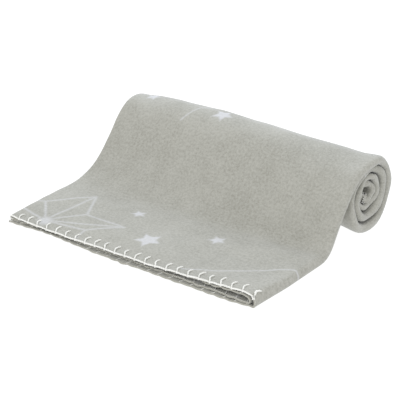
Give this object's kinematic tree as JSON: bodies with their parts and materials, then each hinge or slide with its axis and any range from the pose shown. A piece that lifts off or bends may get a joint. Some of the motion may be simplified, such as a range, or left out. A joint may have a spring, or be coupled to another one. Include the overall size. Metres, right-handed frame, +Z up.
{
  "type": "folded throw blanket",
  "caption": "Fleece throw folded lengthwise and rolled up from its far end, with a flat flap left in front and blanket stitching along its cut edges.",
  "frame": {"origin": "on the floor, under the middle of the bundle's bounding box", "axes": "+X along the roll towards the two nested folds, -Y towards the stitched front edge, +Z up"},
  "size_m": [0.3749, 0.292, 0.0962],
  "materials": {
    "fleece": "brushed pile, matt, printed with pale stars",
    "edging_yarn": "soft spun yarn, matt"
  },
  "bodies": {
    "root": {"fleece_flap": "fleece", "fleece_roll": "fleece", "front_edge_yarn": "edging_yarn", "core_edge_yarn": "edging_yarn", "upper_side_yarn": "edging_yarn", "lower_side_yarn": "edging_yarn"}
  },
  "joints": []
}
